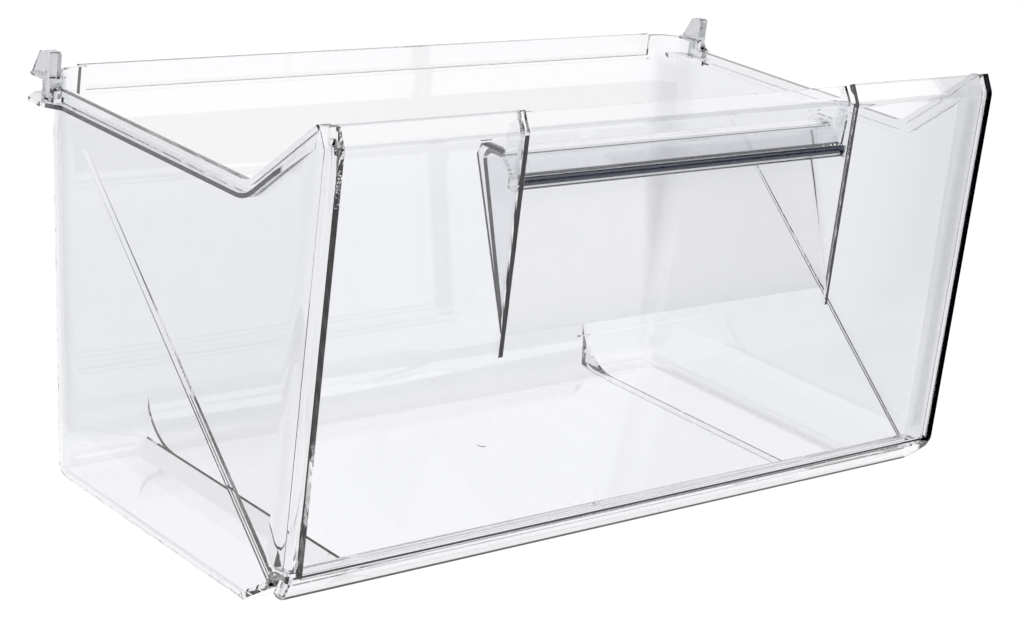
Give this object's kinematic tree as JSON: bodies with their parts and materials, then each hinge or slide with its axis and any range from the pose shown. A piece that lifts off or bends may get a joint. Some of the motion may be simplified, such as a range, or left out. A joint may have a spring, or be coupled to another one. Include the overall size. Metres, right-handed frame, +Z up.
{
  "type": "freezer drawer",
  "caption": "Clear moulded freezer drawer: open-topped tub with a tall front panel, recessed finger grip, slide ledges along the sides and hooked rear lugs.",
  "frame": {"origin": "centre of the bounding box's base, on the plane of the tub's underside", "axes": "+Z up, +X to the right of somebody facing the front panel, -Y out of the front panel"},
  "size_m": [0.447, 0.236, 0.2306],
  "materials": {
    "clear_plastic": "clear glossy crystal polystyrene, see-through"
  },
  "bodies": {
    "root": {"drawer": "clear_plastic"}
  },
  "joints": []
}
